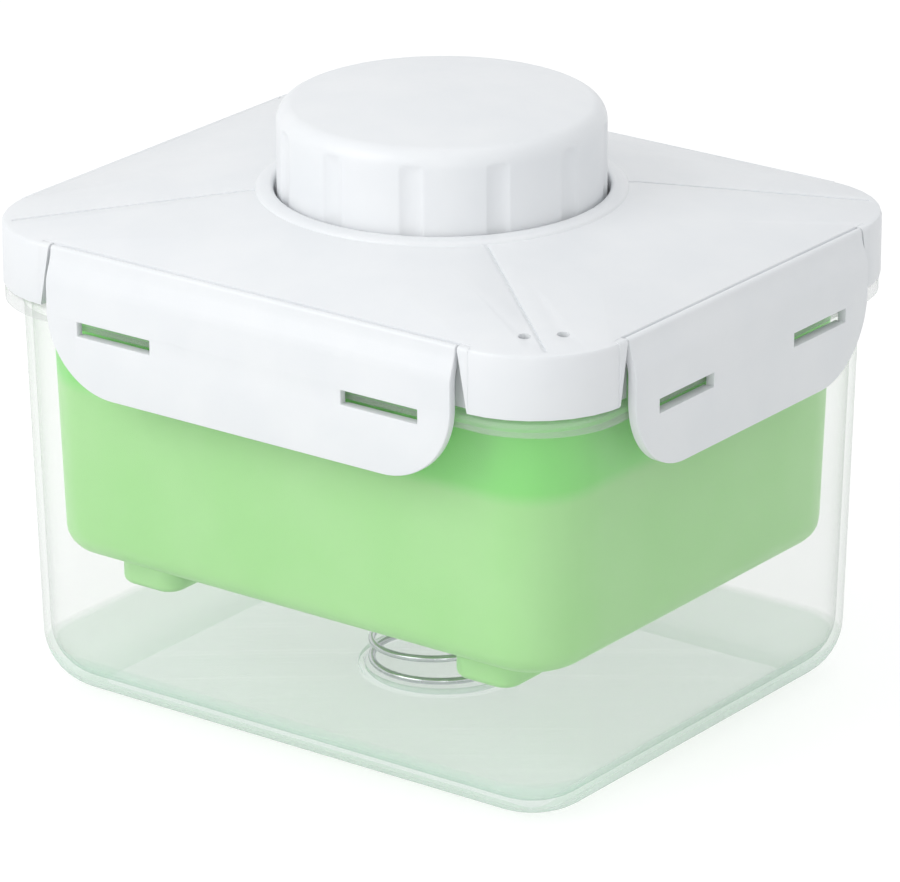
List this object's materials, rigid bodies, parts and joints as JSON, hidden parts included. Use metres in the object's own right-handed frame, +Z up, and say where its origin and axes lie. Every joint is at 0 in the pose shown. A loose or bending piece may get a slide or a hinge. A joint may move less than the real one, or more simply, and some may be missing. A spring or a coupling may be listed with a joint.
{
  "type": "tofu press",
  "caption": "Screw-type tofu press: clear tub, spring-borne green basket and a press plate turned down by a knob in a latching lid.",
  "frame": {"origin": "centre of the tub's underside", "axes": "+Z up, +X along the lid's long side to the right flap, -Y to the front flap"},
  "size_m": [0.1534, 0.1304, 0.1276],
  "materials": {
    "clear_pp": "frosted translucent polypropylene",
    "green_pp": "translucent moulded polypropylene",
    "white_pp": "fine satin moulding",
    "white_core": "plain moulding",
    "spring_steel": "bright drawn stainless wire",
    "zinc_steel": "plain",
    "acetal": "plain",
    "silicone": "translucent white silicone"
  },
  "bodies": {
    "container": {"tub": "clear_pp", "spring": "spring_steel"},
    "basket": {"basket": "green_pp"},
    "lid": {"lid": "white_pp", "lid_gasket": "silicone"},
    "plate": {"press_plate": "white_core", "plate_clip": "zinc_steel", "thrust_washer": "acetal"},
    "screw": {"stem": "white_core", "stem_screw": "zinc_steel", "knob": "white_pp"},
    "flap_front": {"flap_front": "white_pp"},
    "flap_back": {"flap_back": "white_pp"},
    "flap_left": {"flap_left": "white_pp"},
    "flap_right": {"flap_right": "white_pp"}
  },
  "joints": [
    {"name": "lid_lift", "type": "slide", "parent": "container", "child": "lid", "axis": [0, 0, 1], "range_m": [0, 0.1]},
    {"name": "basket_press", "type": "slide", "parent": "container", "child": "basket", "axis": [0, 0, 1], "range_m": [-0.017, 0.002], "stiffness_N_per_m": 900, "springref_m": 0.00075, "deforming": ["spring"]},
    {"name": "plate_travel", "type": "slide", "parent": "lid", "child": "plate", "axis": [0, 0, 1], "range_m": [-0.017, 0.008]},
    {"name": "knob_turn", "type": "hinge", "parent": "plate", "child": "screw", "pos_m": [0, 0, 0.1], "axis": [0, 0, 1], "range_deg": [-766, 361]},
    {"name": "flap_front_hinge", "type": "hinge", "parent": "lid", "child": "flap_front", "pos_m": [0, -0.0627, 0.1013], "axis": [-1, 0, 0], "range_deg": [-2, 150]},
    {"name": "flap_back_hinge", "type": "hinge", "parent": "lid", "child": "flap_back", "pos_m": [0, 0.0627, 0.1013], "axis": [1, 0, 0], "range_deg": [-2, 150]},
    {"name": "flap_left_hinge", "type": "hinge", "parent": "lid", "child": "flap_left", "pos_m": [-0.0742, 0, 0.1013], "axis": [0, 1, 0], "range_deg": [-2, 150]},
    {"name": "flap_right_hinge", "type": "hinge", "parent": "lid", "child": "flap_right", "pos_m": [0.0742, 0, 0.1013], "axis": [0, -1, 0], "range_deg": [-2, 150]}
  ],
  "couplings": [
    {"joint": "knob_turn", "follows": "plate_travel", "rad_per_m": 785.4}
  ]
}
